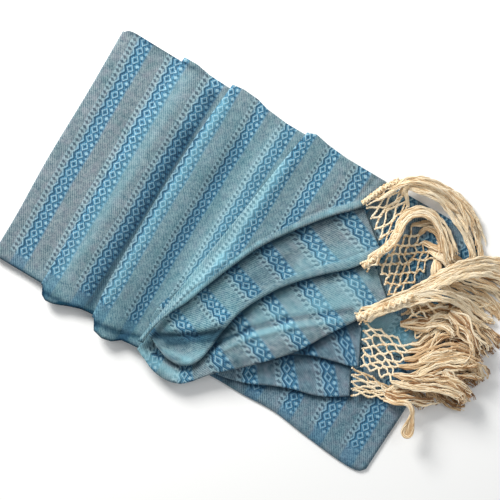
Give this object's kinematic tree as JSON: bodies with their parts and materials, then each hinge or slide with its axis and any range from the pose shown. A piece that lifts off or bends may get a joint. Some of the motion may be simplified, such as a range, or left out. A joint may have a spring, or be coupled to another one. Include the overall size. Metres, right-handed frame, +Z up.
{
  "type": "folded shawl",
  "caption": "Handwoven rebozo shawl folded into a flat pile, one end fanned into pleats, with knotted diamond-net fringes and long loose locks of yarn.",
  "frame": {"origin": "middle of the whole shawl's footprint, on the surface it rests on", "axes": "+X runs along the pile from its first fold to the fringe, +Y across the pile to its far lengthwise fold, +Z up, away from the surface"},
  "size_m": [0.657, 0.4127, 0.0408],
  "materials": {
    "woven_cloth": "matt handwoven cotton",
    "woven_cloth_shaded": "matt handwoven cotton",
    "fringe_yarn": "loose cotton yarn"
  },
  "bodies": {
    "root": {"under_panel": "woven_cloth_shaded", "hidden_layers": "woven_cloth_shaded", "panel_left": "woven_cloth", "panel_second": "woven_cloth", "panel_third": "woven_cloth", "panel_fourth": "woven_cloth", "far_corner": "woven_cloth_shaded", "pleat_first": "woven_cloth", "pleat_second": "woven_cloth", "pleat_third": "woven_cloth", "pleat_fourth": "woven_cloth", "fringe_far": "fringe_yarn", "fringe_first": "fringe_yarn", "fringe_first_corner": "fringe_yarn", "fringe_second": "fringe_yarn", "fringe_second_corner": "fringe_yarn", "fringe_third": "fringe_yarn", "fringe_fourth": "fringe_yarn", "fringe_top": "fringe_yarn"}
  },
  "joints": []
}
